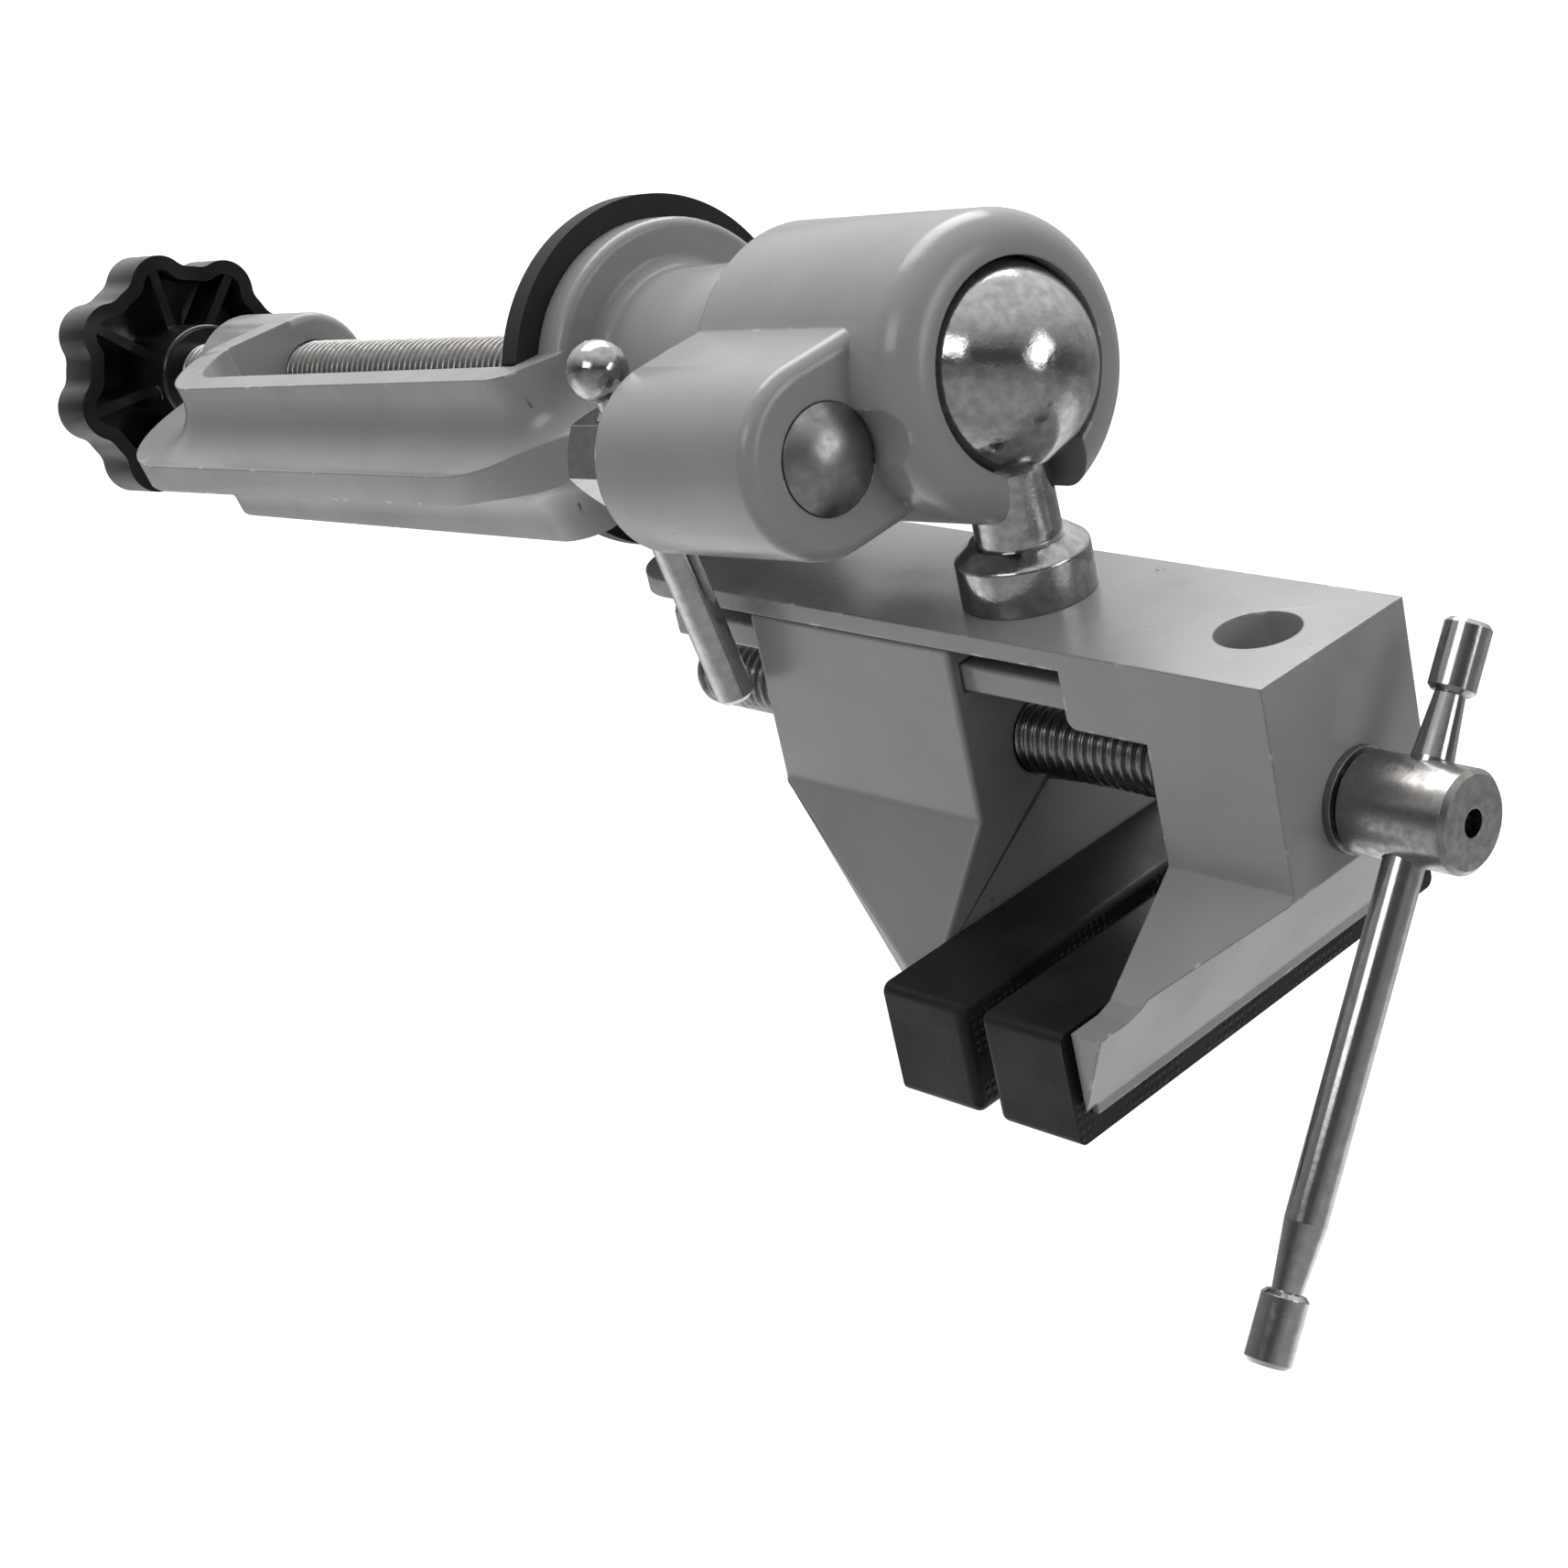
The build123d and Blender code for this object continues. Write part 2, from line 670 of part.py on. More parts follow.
def vise_body():
    """The plate, the block and the fixed jaw as one casting."""
    plate = block((-plate_tail, end_wall), (-body_half_width, body_half_width), (0, plate_thickness))
    tail = plate.edges().filter_by(Axis.Z).sort_by(Axis.X)[:2]
    plate = fillet(tail, plate_tail_round)
    step = block((block_start, end_wall), (-body_half_width, body_half_width), (0, block_step_depth))
    nose = step.edges().filter_by(Axis.Y).group_by(Axis.X)[0].sort_by(Axis.Z)[-1]
    step = fillet(nose, block_step_round)
    ridge = [(jaw_plane + ridge_offset, ridge_depth)]
    body = plate + step + jaw(end_wall - jaw_plane, fixed_outline(), ridge) + tongue()
    body -= guide_bar_form(face_gap)
    for pin in guide_pin_form(guide_pin_radius):
        body -= pin
    body -= along_screw(rod(lead_shank_radius + running_fit, jaw_plane - 1, end_wall + 1))
    body -= Pos(pocket_place, 0, 0) * rod(pocket_radius, 0, pocket_depth)
    sink = stud_screw_head_radius + sliding_fit
    hole = stud_screw_radius + sliding_fit
    body -= turned([
        (0, 0), (hole, 0), (hole, plate_thickness - sink + hole),
        (sink, plate_thickness), (0, plate_thickness),
    ])
    return in_vise(body)


def guide_bar():
    """The flat bar that guides the sliding jaw."""
    bar = guide_bar_form(0)
    corners = bar.edges().filter_by(Axis.Z).sort_by(Axis.X)[:2]
    bar = chamfer(corners, guide_corner)
    for pin in guide_pin_form(guide_pin_radius):
        bar -= pin
    return in_vise(bar)


def guide_bar_pins():
    """The two pins of the guide bar."""
    return Compound([in_vise(pin) for pin in guide_pin_form(guide_pin_radius)])


def jaw_pad():
    """The rubber pad of the fixed jaw in the frame of the vise."""
    front = jaw_plane - jaw_pad_front
    back = jaw_plane - jaw_pad_back
    pad = block((front, back), (-jaw_pad_half_width, jaw_pad_half_width), (jaw_pad_near, jaw_pad_far))
    pad = fillet(pad.edges().group_by(Axis.X)[0] + pad.edges().filter_by(Axis.X), jaw_pad_round)
    return pad - block(
        (front + jaw_pad_wall, back),
        (-jaw_pad_half_width + jaw_pad_wall, jaw_pad_half_width - jaw_pad_wall),
        (jaw_pad_near + jaw_pad_wall, jaw_pad_far - jaw_pad_wall),
    )


def facing(shape):
    """Mirrors a shape of the fixed jaw to the sliding jaw."""
    return mirror(shape, Plane(origin=(jaw_middle, 0, 0), z_dir=(1, 0, 0)))


def fixed_jaw_pad():
    """The rubber pad of the fixed jaw."""
    return in_vise(jaw_pad())


def sliding_jaw_pad():
    """The rubber pad of the sliding jaw."""
    return in_vise(facing(jaw_pad()))


def sliding_jaw():
    """The sliding jaw with its block, the guide slot and the threaded bore."""
    tail = slide_plane - slide_length
    under = block((tail, slide_plane), (-jaw_half_width, jaw_half_width), (0, slide_near))
    body = facing((jaw(slide_length, slide_outline()) & slide_plan()) + tongue()) - under
    grow = sliding_fit
    half = guide_half_width + grow
    slot = (guide_top - grow, guide_top + guide_thickness + grow)
    body -= block((tail - 1, slide_plane + 1), (-half, half), slot)
    body -= along_screw(rod(lead_radius + running_fit, tail - 1, slide_plane + 1))
    return in_vise(body)


def lead_screw():
    """The lead screw with its head."""
    thread = rod(lead_radius, -lead_tail, lead_thread_end)
    thread = chamfer(thread.edges().sort_by(Axis.Z)[0], lead_tail_chamfer)
    head = rod(lead_head_radius, lead_head_start, lead_end)
    head = chamfer(head.edges(), lead_head_chamfer)
    screw = thread + rod(lead_shank_radius, lead_thread_end, lead_head_start) + head
    groove = jaw_plane - face_gap
    seat = rod(clip_radius, groove - clip_thickness, groove)
    screw -= seat - rod(clip_groove_radius, groove - clip_thickness, groove)
    screw -= rod(lead_centre_radius, lead_end - lead_centre_depth, lead_end)
    screw = along_screw(screw)
    cross = rod(handle_radius + sliding_fit, -2 * lead_head_radius, 2 * lead_head_radius)
    return in_vise(screw - on_handle(cross))


def thrust_washer():
    """The washer under the head of the lead screw."""
    start = end_wall + face_gap
    end = start + thrust_washer_thickness
    ring = rod(thrust_washer_radius, start, end) - rod(lead_shank_radius + running_fit, start, end)
    return in_vise(along_screw(ring))


def screw_clip():
    """The open clip that holds the lead screw in the wall."""
    end = jaw_plane - face_gap
    start = end - clip_thickness
    ring = rod(clip_radius, start, end) - rod(clip_groove_radius, start, end)
    mouth = block((-clip_radius, 0), (-clip_opening, clip_opening), (start, end))
    return in_vise(along_screw(ring - mouth))


def t_bar():
    """The handle bar of the lead screw, necked down beside both caps."""
    low = -handle_short_end + handle_cap_length
    high = handle_long_end - handle_cap_length
    bar = turned([
        (0, low - handle_spigot_length), (handle_neck_radius, low - handle_spigot_length),
        (handle_neck_radius, low), (handle_radius, low + handle_short_taper_length),
        (handle_radius, high - handle_taper_length), (handle_neck_radius, high),
        (handle_neck_radius, high + handle_spigot_length), (0, high + handle_spigot_length),
    ])
    return in_vise(on_handle(bar))


def handle_cap(low, high, spigot):
    """A cap of the handle, with the hole for the spigot of the bar."""
    cap = chamfer(rod(handle_cap_radius, low, high).edges(), handle_cap_chamfer)
    return in_vise(on_handle(cap - rod(handle_neck_radius, *spigot)))


def t_bar_long_end_cap():
    """The cap at the long end of the handle."""
    start = handle_long_end - handle_cap_length
    return handle_cap(start, handle_long_end, (start, start + handle_spigot_length))


def t_bar_short_end_cap():
    """The cap at the short end of the handle."""
    end = -handle_short_end + handle_cap_length
    return handle_cap(-handle_short_end, end, (end - handle_spigot_length, end))


def main():
    """Builds and writes every piece."""
    os.makedirs("parts", exist_ok=True)
    pieces = [
        base_casting, table_pad, clamp_screw, pressure_plate, pressure_plate_ring, clamp_knob, knob_pin,
        side_clamp_bolt, clamp_slug, clamp_washer, clamp_nut, tommy_bar, tommy_bar_ball,
        ball_stud, stud_screw, vise_body, guide_bar, guide_bar_pins, fixed_jaw_pad,
        sliding_jaw, sliding_jaw_pad, lead_screw, thrust_washer, screw_clip,
        t_bar, t_bar_long_end_cap, t_bar_short_end_cap,
    ]
    for piece in pieces:
        shape = piece()
        export_step(shape, f"parts/{piece.__name__}.step")
        print(piece.__name__, len(shape.solids()), round(shape.volume, 1), shape.is_valid)


main()
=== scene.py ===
import json
import math

import bmesh
import bpy
import numpy as np
from mathutils import Matrix, Vector


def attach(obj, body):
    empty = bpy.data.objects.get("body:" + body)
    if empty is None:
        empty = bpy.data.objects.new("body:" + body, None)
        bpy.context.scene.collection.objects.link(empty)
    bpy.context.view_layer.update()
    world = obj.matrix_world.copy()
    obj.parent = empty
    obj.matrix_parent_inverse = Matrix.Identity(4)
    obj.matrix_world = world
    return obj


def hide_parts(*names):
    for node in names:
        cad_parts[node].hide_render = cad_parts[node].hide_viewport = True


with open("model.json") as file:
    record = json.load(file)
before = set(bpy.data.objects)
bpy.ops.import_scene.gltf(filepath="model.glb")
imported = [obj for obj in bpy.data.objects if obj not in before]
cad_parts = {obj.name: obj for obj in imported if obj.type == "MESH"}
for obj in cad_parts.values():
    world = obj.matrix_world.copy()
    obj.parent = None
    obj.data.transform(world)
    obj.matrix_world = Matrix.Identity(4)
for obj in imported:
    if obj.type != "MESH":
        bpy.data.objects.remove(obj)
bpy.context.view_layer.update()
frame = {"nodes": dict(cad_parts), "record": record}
nodes = frame["nodes"]

# The frame of the vise, as the part's source places it: along the lead screw, across, away from the ball.
viseValues = {
    "tilt": math.radians(6.3),
    "twist": math.radians(4.0),
    "ballHeight": 0.0785,
    "plateDistance": 0.03275,
    "screwDistance": 0.0222,
}
tilt = viseValues["tilt"]
twist = viseValues["twist"]
away = Vector((0, math.cos(tilt), -math.sin(tilt)))
along = Vector((-math.sin(twist), math.cos(twist) * math.sin(tilt), math.cos(twist) * math.cos(tilt)))
across = away.cross(along)
viseMatrix = Matrix((along, across, away)).transposed().to_4x4()
viseMatrix.translation = Vector((0, 0, viseValues["ballHeight"])) + away * viseValues["plateDistance"]


def fromHex(code):
    # An sRGB hex colour turned to linear.
    parts = [int(code[i : i + 2], 16) / 255 for i in (0, 2, 4)]
    return [c / 12.92 if c <= 0.04045 else ((c + 0.055) / 1.055) ** 2.4 for c in parts] + [1.0]


def addNode(tree, kind, inputs=None, **settings):
    # Adds a shader node; an input is a value or a socket to link.
    node = tree.nodes.new("ShaderNode" + kind)
    for name, value in settings.items():
        setattr(node, name, value)
    for name, value in (inputs or {}).items():
        if isinstance(value, bpy.types.NodeSocket):
            tree.links.new(value, node.inputs[name])
        else:
            node.inputs[name].default_value = value
    return node


def newMaterial(name):
    material = bpy.data.materials.new(name)
    material.use_nodes = True
    tree = material.node_tree
    shader = tree.nodes["Principled BSDF"]
    place = addNode(tree, "TexCoord").outputs["Object"]
    return material, tree, shader, place


def noiseRange(tree, place, size, low, high, detail=3.0, start=0.35, end=0.65):
    # Noise with grains of about that size in metres, stretched between start and end to low and high.
    noise = addNode(tree, "TexNoise", {"Vector": place, "Scale": 1 / size, "Detail": detail})
    inputs = {0: noise.outputs["Fac"], 1: start, 2: end, 3: low, 4: high}
    return addNode(tree, "MapRange", inputs).outputs[0]


edgeSamples = 4  # rays that each rounded normal takes

# Sizes are in metres, and each range gives the noise at which a mark begins and is full.
paintValues = {
    "colour": "8a8a8b",
    "cloud": "848485",
    "pit": "4e4e4f",
    # painted highlight: the lighter colour laid along the edges
    "paintedEdgeHighlight": "cfcfd0",
    "smudge": "6a6a6b",
    "roughness": (0.2, 0.3),
    "peelSize": 0.0016,
    "peelHeight": 0.0001,
    "peelStrength": 0.16,
    "cloudSize": 0.02,
    "pitSize": 0.006,
    "pitDetail": 8.0,
    "pitRange": (0.735, 0.76),
    "smudgeSize": 0.011,
    "smudgeDetail": 6.0,
    "smudgeRange": (0.6, 0.8),
    "smudgeAmount": 0.3,
    "edgeHighlightPatchSize": 0.0035,
    "edgeHighlightPatchDetail": 5.0,
    "edgeHighlightPatchRange": (0.6, 0.66),
    "edgeRound": 0.0005,
    "edgeHighlightWidth": 0.0009,
    "edgeHighlightRange": (0.97, 0.88),  # cosine of the turn at which the painted edge highlight begins and is full
    "ior": 1.5,
}


def edgeHighlightMask(tree, place, values):
    # Where the rounded normal leaves the true one there is an edge. It is painted lighter as a highlight, and
    # noise breaks it into patches.
    wide = addNode(tree, "Bevel", {"Radius": values["edgeHighlightWidth"]}, samples=edgeSamples).outputs[0]
    true = addNode(tree, "NewGeometry").outputs["Normal"]
    same = addNode(tree, "VectorMath", {0: wide, 1: true}, operation="DOT_PRODUCT").outputs["Value"]
    flat, bent = values["edgeHighlightRange"]
    edge = addNode(tree, "MapRange", {0: same, 1: flat, 2: bent, 3: 0.0, 4: 1.0}).outputs[0]
    broken = noiseRange(tree, place, values["edgeHighlightPatchSize"], 0.0, 1.0, values["edgeHighlightPatchDetail"], *values["edgeHighlightPatchRange"])
    return addNode(tree, "Math", {0: edge, 1: broken}, operation="MULTIPLY").outputs[0]


def castingPaint():
    # Grey enamel sprayed on a die casting: gives an even satin gloss with slight orange peel.
    material, tree, shader, place = newMaterial("greyEnamelSprayedOnCasting")
    values = paintValues
    cloud = noiseRange(tree, place, values["cloudSize"], 0.0, 1.0)
    pit = noiseRange(tree, place, values["pitSize"], 0.0, 1.0, values["pitDetail"], *values["pitRange"])
    amount = values["smudgeAmount"]
    detail = values["smudgeDetail"]
    smudge = noiseRange(tree, place, values["smudgeSize"], 0.0, amount, detail, *values["smudgeRange"])
    # Painted highlight: the edges are lightened in noisy patches to stand for glossy edge lines.
    paintedEdgeHighlight = edgeHighlightMask(tree, place, values)
    colour = fromHex(values["colour"])
    for layer, share in (("cloud", cloud), ("smudge", smudge), ("pit", pit), ("paintedEdgeHighlight", paintedEdgeHighlight)):
        inputs = {0: share, 6: colour, 7: fromHex(values[layer])}
        colour = addNode(tree, "Mix", inputs, data_type="RGBA").outputs[2]
    rough = noiseRange(tree, place, values["cloudSize"] / 2, *values["roughness"])
    soft = addNode(tree, "Bevel", {"Radius": values["edgeRound"]}, samples=edgeSamples)
    peel = addNode(tree, "TexNoise", {"Vector": place, "Scale": 1 / values["peelSize"], "Detail": 1.0})
    relief = addNode(tree, "Math", {0: peel.outputs["Fac"], 1: pit}, operation="SUBTRACT")
    bump = addNode(
        tree,
        "Bump",
        {
            "Height": relief.outputs[0],
            "Strength": values["peelStrength"],
            "Distance": values["peelHeight"],
            "Normal": soft.outputs[0],
        },
    )
    tree.links.new(colour, shader.inputs["Base Color"])
    tree.links.new(rough, shader.inputs["Roughness"])
    tree.links.new(bump.outputs[0], shader.inputs["Normal"])
    shader.inputs["IOR"].default_value = values["ior"]
    return material


metalShared = {
    "scuffDetail": 6.0,
    "grainDetail": 5.0,
    "grainsInScuff": 2.5,
    "grainHeight": 0.00005,
    "edgeRound": 0.0002,
}


def metal(name, values):
    # Bare metal: scuffs change its tint and gloss together, and a finer grain breaks up the highlights.
    material, tree, shader, place = newMaterial(name)
    scuff = noiseRange(tree, place, values["scuffSize"], 0.0, 1.0, metalShared["scuffDetail"])
    inputs = {0: scuff, 6: fromHex(values["colour"]), 7: fromHex(values["stain"])}
    tint = addNode(tree, "Mix", inputs, data_type="RGBA").outputs[2]
    smooth, dull = values["roughness"]
    rough = addNode(tree, "MapRange", {0: scuff, 3: smooth, 4: dull}).outputs[0]
    soft = addNode(tree, "Bevel", {"Radius": metalShared["edgeRound"]}, samples=edgeSamples)
    scale = metalShared["grainsInScuff"] / values["scuffSize"]
    fine = addNode(tree, "TexNoise", {"Vector": place, "Scale": scale, "Detail": metalShared["grainDetail"]})
    bump = addNode(
        tree,
        "Bump",
        {
            "Height": fine.outputs["Fac"],
            "Strength": values["bump"],
            "Distance": metalShared["grainHeight"],
            "Normal": soft.outputs[0],
        },
    )
    tree.links.new(tint, shader.inputs["Base Color"])
    tree.links.new(rough, shader.inputs["Roughness"])
    tree.links.new(bump.outputs[0], shader.inputs["Normal"])
    shader.inputs["Metallic"].default_value = 1.0
    return material


dotValues = {
    "spacing": 0.0013,
    "unevenness": 0.15,
    "edge": (0.2, 0.42),
    "faceTurn": (0.9, 0.97),
    "height": 3.0,  # in grain heights
}


def gripDots(tree, place):
    # Rows of small moulded dots, on the faces across the lead screw only.
    scale = 1 / dotValues["spacing"]
    inputs = {"Vector": place, "Scale": scale, "Randomness": dotValues["unevenness"]}
    cell = addNode(tree, "TexVoronoi", inputs)
    inner, outer = dotValues["edge"]
    inputs = {0: cell.outputs["Distance"], 1: inner, 2: outer, 3: 1.0, 4: 0.0}
    dot = addNode(tree, "MapRange", inputs).outputs[0]
    normal = addNode(tree, "TexCoord").outputs["Normal"]
    turn = addNode(tree, "VectorMath", {0: normal, 1: tuple(along)}, operation="DOT_PRODUCT").outputs["Value"]
    size = addNode(tree, "Math", {0: turn}, operation="ABSOLUTE").outputs[0]
    start, end = dotValues["faceTurn"]
    face = addNode(tree, "MapRange", {0: size, 1: start, 2: end}).outputs[0]
    return addNode(tree, "Math", {0: dot, 1: face}, operation="MULTIPLY").outputs[0]


# The real grain is finer than the values' grainSize; it is drawn coarse enough to show.
mouldedShared = {"dustSize": 0.009, "grainDetail": 3.0, "grainHeight": 0.0001}


def moulded(name, values, dotted=False):
    # Black moulded rubber or plastic: dust shifts its tint and gloss, and a grain gives it tooth.
    material, tree, shader, place = newMaterial(name)
    dust = noiseRange(tree, place, mouldedShared["dustSize"], 0.0, 1.0)
    inputs = {0: dust, 6: fromHex(values["colour"]), 7: fromHex(values["dust"])}
    tint = addNode(tree, "Mix", inputs, data_type="RGBA").outputs[2]
    smooth, dull = values["roughness"]
    rough = addNode(tree, "MapRange", {0: dust, 3: smooth, 4: dull}).outputs[0]
    scale = 1 / values["grainSize"]
    inputs = {"Vector": place, "Scale": scale, "Detail": mouldedShared["grainDetail"]}
    grain = addNode(tree, "TexNoise", inputs)
    height = grain.outputs["Fac"]
    if dotted:
        inputs = {0: gripDots(tree, place), 1: dotValues["height"], 2: height}
        height = addNode(tree, "Math", inputs, operation="MULTIPLY_ADD").outputs[0]
    inputs = {"Height": height, "Strength": values["bump"], "Distance": mouldedShared["grainHeight"]}
    bump = addNode(tree, "Bump", inputs)
    shader.inputs["Specular IOR Level"].default_value = values["specular"]
    tree.links.new(tint, shader.inputs["Base Color"])
    tree.links.new(rough, shader.inputs["Roughness"])
    tree.links.new(bump.outputs[0], shader.inputs["Normal"])
    return material


paint = castingPaint()
# Hard chrome on a turned ball: mirror-like with mottled handling scuffs.
chromeValues = {
    "colour": "aeaeaf",
    "stain": "949495",
    "roughness": (0.1, 0.2),
    "scuffSize": 0.0016,
    "bump": 0.5,
}
chrome = metal("chromeOnTurnedSteel", chromeValues)
# Bright zinc on turned bar: clean, slightly soft reflections.
zincValues = {
    "colour": "b4b3b2",
    "stain": "a3a2a1",
    "roughness": (0.12, 0.2),
    "scuffSize": 0.0018,
    "bump": 0.12,
}
zinc = metal("zincPlatedTurnedSteel", zincValues)
# Oiled rolled thread: darker metal with broken highlights.
threadSteelValues = {
    "colour": "9a9896",
    "stain": "82807e",
    "roughness": (0.2, 0.34),
    "scuffSize": 0.0014,
    "bump": 0.15,
}
threadSteel = metal("oiledRolledSteel", threadSteelValues)
# Tumbled bolt head: satin grey without sharp highlights.
satinSteelValues = {
    "colour": "969594",
    "stain": "828180",
    "roughness": (0.3, 0.4),
    "scuffSize": 0.0016,
    "bump": 0.2,
}
satinSteel = metal("tumbledForgedSteel", satinSteelValues)
# Moulded rubber: matt and faintly dusty.
rubberValues = {
    "colour": "191919",
    "dust": "242424",
    "roughness": (0.5, 0.65),
    "grainSize": 0.0006,
    "bump": 0.25,
    "specular": 0.25,
}
blackRubber = moulded("mouldedBlackRubber", rubberValues)
# Moulded rubber with a dotted face: fine sparkle where the jaws grip.
gripValues = {
    "colour": "151515",
    "dust": "1e1e1e",
    "roughness": (0.42, 0.6),
    "grainSize": 0.0006,
    "bump": 0.4,
    "specular": 0.2,
}
gripRubber = moulded("dottedBlackRubber", gripValues, dotted=True)
# Glossy injection moulding: sharp small highlights on black.
plasticValues = {
    "colour": "121212",
    "dust": "191919",
    "roughness": (0.12, 0.2),
    "grainSize": 0.004,
    "bump": 0.05,
    "specular": 0.5,
}
blackPlastic = moulded("glossMouldedPlastic", plasticValues)
print("materials made")

slotMaterials = {
    "painted_casting": paint,
    "pad_rubber": blackRubber,
    "jaw_rubber": gripRubber,
    "screw_steel": threadSteel,
    "plated_steel": zinc,
    "polished_chrome": chrome,
    "black_plastic": blackPlastic,
}
nodeSlots = {part["node"]: part["material_slot"] for part in frame["record"]["subparts"]}


def dress(thing, slotName):
    thing.data.materials.clear()
    thing.data.materials.append(slotMaterials[slotName])


for nodeName, thing in nodes.items():
    dress(thing, nodeSlots[nodeName])
nodes["side_clamp_bolt"].data.materials[0] = satinSteel


weldDistance = 0.000002  # closes the seams between the faces of a CAD mesh
sharpAngle = math.radians(32)

edgeValues = {
    "angle": math.radians(30),
    "steps": 3,
    "widths": {
        "base_casting": 0.0006,
        "vise_body": 0.0006,
        "sliding_jaw": 0.0006,
        "guide_bar": 0.0006,
        "clamp_knob": 0.0005,
        "ball_stud": 0.0009,
    },
}


def soften(thing, width):
    # A small round on each sharp edge, as casting, moulding or polishing leaves it.
    weld = thing.modifiers.new("weld", "WELD")
    weld.merge_threshold = weldDistance
    edge = thing.modifiers.new("edge", "BEVEL")
    edge.width = width
    edge.segments = edgeValues["steps"]
    edge.limit_method = "ANGLE"
    edge.angle_limit = edgeValues["angle"]
    edge.use_clamp_overlap = True
    edge.harden_normals = False


def shadeSmooth(thing):
    mesh = thing.data
    mesh.set_sharp_from_angle(angle=sharpAngle)
    for face in mesh.polygons:
        face.use_smooth = True


def newPiece(name, mesh, like, body, *replaced):
    # A new mesh with the finish of a CAD node; it rides on a body and stands for the replaced nodes.
    thing = bpy.data.objects.new(name, mesh)
    bpy.context.scene.collection.objects.link(thing)
    dress(thing, nodeSlots[like])
    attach(thing, body)
    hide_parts(*replaced)
    return thing


threadForm = {
    "stepsRound": 72,
    "stepsPitch": 14,
    "flank": 2.9,  # how steeply the flank climbs
    "root": 0.35,  # how wide the round root is
    "runOut": 0.8,  # turns over which the thread fades at its ends
}


def threadMesh(name, place, values):
    # A rolled right-hand thread on the local Z axis, with closed ends and a chamfer at its low end.
    pitch = values["pitch"]
    stepsRound = threadForm["stepsRound"]
    low, high = values["low"], values["high"]
    rows = int((high - low) / pitch * threadForm["stepsPitch"]) + 1
    heights = np.linspace(low, high, rows)
    angles = np.linspace(0, 2 * math.pi, stepsRound, endpoint=False)
    height, angle = np.meshgrid(heights, angles, indexing="ij")
    phase = (height / pitch - angle / (2 * math.pi)) % 1.0
    slope = np.clip(np.abs(phase - 0.5) * threadForm["flank"] - threadForm["root"], 0, 1)
    form = slope * slope * (3 - 2 * slope)
    ends = np.clip(np.minimum(height - low, high - height) / (pitch * threadForm["runOut"]), 0, 1)
    top = values["radius"] - values["chamfer"] * (1 - np.clip((height - low) / values["chamfer"], 0, 1))
    radius = np.minimum(values["radius"] - values["depth"] * (1 - form) * ends, top)
    points = np.stack([radius * np.cos(angle), radius * np.sin(angle), height], axis=-1).reshape(-1, 3)
    faces = []
    for row in range(rows - 1):
        for column in range(stepsRound):
            following = (column + 1) % stepsRound
            faces.append(
                (
                    row * stepsRound + column,
                    row * stepsRound + following,
                    (row + 1) * stepsRound + following,
                    (row + 1) * stepsRound + column,
                )
            )
    faces.append(tuple(range(stepsRound - 1, -1, -1)))
    faces.append(tuple((rows - 1) * stepsRound + column for column in range(stepsRound)))
    mesh = bpy.data.meshes.new(name)
    mesh.from_pydata(points.tolist(), [], faces)
    mesh.transform(place)
    for face in mesh.polygons:
        face.use_smooth = len(face.vertices) == 4
    return mesh


def cutCopy(nodeName, point, normal):
    # A copy of a CAD node's mesh, kept on the side that the normal points to and closed again.
    work = bmesh.new()
    work.from_mesh(nodes[nodeName].data)
    bmesh.ops.remove_doubles(work, verts=work.verts, dist=weldDistance)
    everything = work.verts[:] + work.edges[:] + work.faces[:]
    cut = bmesh.ops.bisect_plane(work, geom=everything, plane_co=point, plane_no=normal, clear_inner=True)
    rim = [part for part in cut["geom_cut"] if isinstance(part, bmesh.types.BMEdge)]
    bmesh.ops.holes_fill(work, edges=rim, sides=0)
    mesh = bpy.data.meshes.new(nodeName + "Rest")
    work.to_mesh(mesh)
    work.free()
    stored = mesh.attributes.get("custom_normal")
    if stored:  # they no longer fit the faces of the cut mesh
        mesh.attributes.remove(stored)
    return mesh


clampThread = {
    "radius": 0.00598,
    "depth": 0.00085,
    "pitch": 0.00175,
    "low": -0.1500,
    "high": -0.0245,
    "chamfer": 0.0006,
}
newPiece(
    "clampScrewThread",
    threadMesh("clampThread", Matrix.Identity(4), clampThread),
    "clamp_screw",
    "clamp_spindle",
)
clampTip = newPiece(
    "clampScrewTip",
    cutCopy("clamp_screw", Vector((0, 0, clampThread["high"])), Vector((0, 0, 1))),
    "clamp_screw",
    "clamp_spindle",
    "clamp_screw",
)
shadeSmooth(clampTip)

leadThread = {
    "radius": 0.00548,
    "depth": 0.00085,
    "pitch": 0.00175,
    "low": -0.0708,
    "high": 0.0265,
    "chamfer": 0.0009,
}
screwAxis = Vector((0, 0, viseValues["screwDistance"]))
leadPlace = viseMatrix @ Matrix.Translation(screwAxis) @ Matrix.Rotation(math.pi / 2, 4, "Y")
newPiece("leadScrewThread", threadMesh("leadThread", leadPlace, leadThread), "lead_screw", "spindle")
leadHead = newPiece(
    "leadScrewHead",
    cutCopy("lead_screw", viseMatrix @ (Vector((leadThread["high"], 0, 0)) + screwAxis), along),
    "lead_screw",
    "spindle",
    "lead_screw",
)
shadeSmooth(leadHead)
print("threads made")

for nodeName, width in edgeValues["widths"].items():
    soften(nodes[nodeName], width)
print("edges softened")

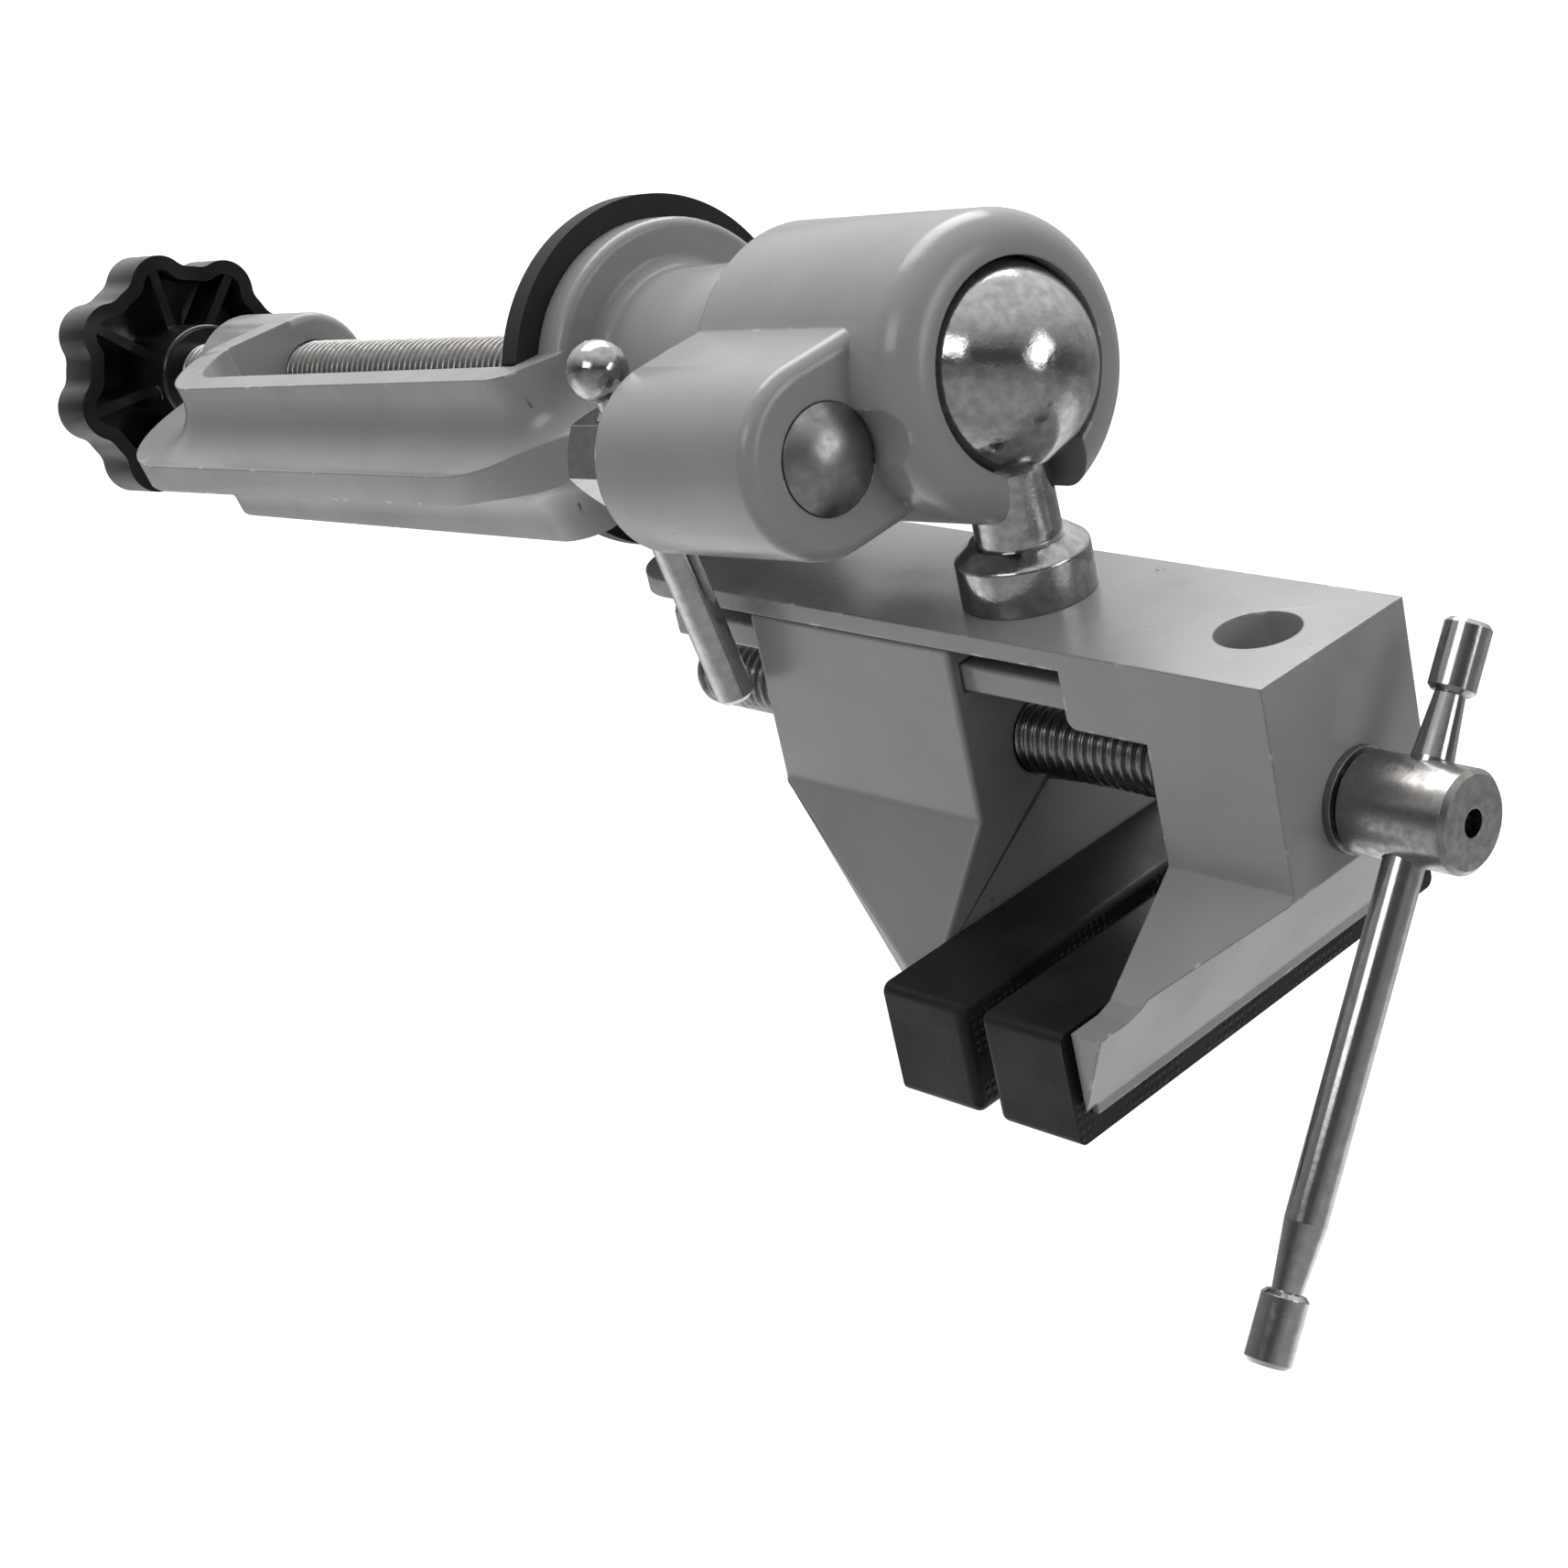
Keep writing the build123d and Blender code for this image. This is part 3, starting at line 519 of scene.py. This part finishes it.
# The camera: fitted to the outline of the ball, the plate, the pads, the flange and the lug.
cameraValues = {
    "place": (0.266444, -0.093766, 0.404358),
    "right": (-0.746452, 0.274233, 0.606305),
    "up": (-0.41074, -0.90673, -0.095567),
    "lens": 73.555,
    "sensor": 36.0,
    "nearest": 0.01,
}
right = Vector(cameraValues["right"]).normalized()
up = Vector(cameraValues["up"]).normalized()
back = right.cross(up)
cameraData = bpy.data.cameras.new("camera")
cameraData.lens = cameraValues["lens"]
cameraData.sensor_width = cameraValues["sensor"]
cameraData.clip_start = cameraValues["nearest"]
camera = bpy.data.objects.new("camera", cameraData)
bpy.context.scene.collection.objects.link(camera)
cameraMatrix = Matrix((right, up, back)).transposed().to_4x4()
cameraMatrix.translation = Vector(cameraValues["place"])
camera.matrix_world = cameraMatrix
bpy.context.scene.camera = camera
print("camera placed")

# Each lamp's direction is in the camera's axes: right, up and back towards the camera.
lightValues = {
    "right": {"from": (0.756, 0.18, 0.62), "distance": 0.8, "size": (0.26, 0.4), "power": 1.15},
    "left": {"from": (-0.583, 0.258, 0.767), "distance": 0.8, "size": (0.24, 0.38), "power": 1.0},
    "top": {"from": (-0.16, 0.93, -0.17), "distance": 0.7, "size": (0.7, 0.38), "power": 4.4},
}
target = Vector((0.0, 0.02, 0.04))  # what the lamps point at
for lightName, values in lightValues.items():
    lightData = bpy.data.lights.new(lightName, "AREA")
    lightData.shape = "RECTANGLE"
    lightData.size, lightData.size_y = values["size"]
    lightData.energy = values["power"]
    light = bpy.data.objects.new(lightName, lightData)
    bpy.context.scene.collection.objects.link(light)
    x, y, z = values["from"]
    direction = (right * x + up * y + back * z).normalized()
    light.location = target + direction * values["distance"]
    light.rotation_mode = "QUATERNION"
    light.rotation_quaternion = direction.to_track_quat("Z", "Y")
print("lamps placed")

# Soft grey walls that brighten overhead; the camera itself sees white.
worldValues = {
    "liftHeight": (0.15, 0.75),
    "wallDepth": (-0.6, 0.3),
    "wallGlow": (0.3, 0.1),
    "seen": 1.3,
}
world = bpy.data.worlds.new("studio")
bpy.context.scene.world = world
world.use_nodes = True
worldTree = world.node_tree
worldTree.nodes.clear()
ray = addNode(worldTree, "TexCoord").outputs["Generated"]
height = addNode(worldTree, "VectorMath", {0: ray, 1: tuple(up)}, operation="DOT_PRODUCT").outputs["Value"]
depth = addNode(worldTree, "VectorMath", {0: ray, 1: tuple(back)}, operation="DOT_PRODUCT").outputs["Value"]
low, high = worldValues["liftHeight"]
lift = addNode(worldTree, "MapRange", {0: height, 1: low, 2: high, 3: 0.0, 4: 1.0}).outputs[0]
far, near = worldValues["wallDepth"]
farGlow, nearGlow = worldValues["wallGlow"]
wall = addNode(worldTree, "MapRange", {0: depth, 1: far, 2: near, 3: farGlow, 4: nearGlow}).outputs[0]
glow = addNode(worldTree, "Math", {0: lift, 1: wall}, operation="ADD").outputs[0]
seen = addNode(worldTree, "LightPath").outputs["Is Camera Ray"]
strength = addNode(worldTree, "Mix", {0: seen, 2: glow, 3: worldValues["seen"]}).outputs[0]
sky = addNode(worldTree, "Background", {"Color": (1, 1, 1, 1), "Strength": strength})
addNode(worldTree, "OutputWorld", {"Surface": sky.outputs[0]})

# A pale floor that glows around the object and fades towards the camera; from below it is clear.
floorValues = {
    "drop": 0.215,
    "half": 3.0,
    "grey": 0.25,
    "poolReach": (0.3, 1.0),
    "poolGlow": (1.1, 0.2),
    "fadeReach": (-0.1, 0.12),
    "fadeGlow": (1.0, 0.12),
    "seen": 0.9,
}
floorMesh = bpy.data.meshes.new("floor")
floorCentre = target - up * floorValues["drop"]
reach = floorValues["half"]
signs = ((-1, 1), (1, 1), (1, -1), (-1, -1))
corners = [floorCentre + right * (a * reach) + back * (b * reach) for a, b in signs]
floorMesh.from_pydata([tuple(corner) for corner in corners], [], [(0, 1, 2, 3)])
floor = bpy.data.objects.new("floor", floorMesh)
bpy.context.scene.collection.objects.link(floor)
floorMaterial = bpy.data.materials.new("paleFloor")
floorMaterial.use_nodes = True
floorTree = floorMaterial.node_tree
floorTree.nodes.clear()
matt = addNode(floorTree, "BsdfDiffuse", {"Color": (*[floorValues["grey"]] * 3, 1)})
geometry = addNode(floorTree, "NewGeometry").outputs
spot = geometry["Position"]
middle = tuple(floorCentre)
span = addNode(floorTree, "VectorMath", {0: spot, 1: middle}, operation="DISTANCE").outputs["Value"]
start, end = floorValues["poolReach"]
bright, dim = floorValues["poolGlow"]
pool = addNode(floorTree, "MapRange", {0: span, 1: start, 2: end, 3: bright, 4: dim}).outputs[0]
toward = addNode(floorTree, "VectorMath", {0: spot, 1: tuple(back)}, operation="DOT_PRODUCT").outputs["Value"]
start, end = [back.dot(floorCentre) + edge for edge in floorValues["fadeReach"]]
bright, dim = floorValues["fadeGlow"]
fade = addNode(floorTree, "MapRange", {0: toward, 1: start, 2: end, 3: bright, 4: dim}).outputs[0]
pool = addNode(floorTree, "Math", {0: pool, 1: fade}, operation="MULTIPLY").outputs[0]
direct = addNode(floorTree, "LightPath").outputs["Is Camera Ray"]
shine = addNode(floorTree, "Mix", {0: direct, 2: pool, 3: floorValues["seen"]}).outputs[0]
lightUp = addNode(floorTree, "Emission", {"Strength": shine})
both = addNode(floorTree, "AddShader", {0: matt.outputs[0], 1: lightUp.outputs[0]})
clear = addNode(floorTree, "BsdfTransparent")
behind = geometry["Backfacing"]
floorSurface = addNode(floorTree, "MixShader", {0: behind, 1: both.outputs[0], 2: clear.outputs[0]})
addNode(floorTree, "OutputMaterial", {"Surface": floorSurface.outputs[0]})
floorMesh.materials.append(floorMaterial)
bpy.context.scene.view_settings.view_transform = "Standard"
print("stage made")
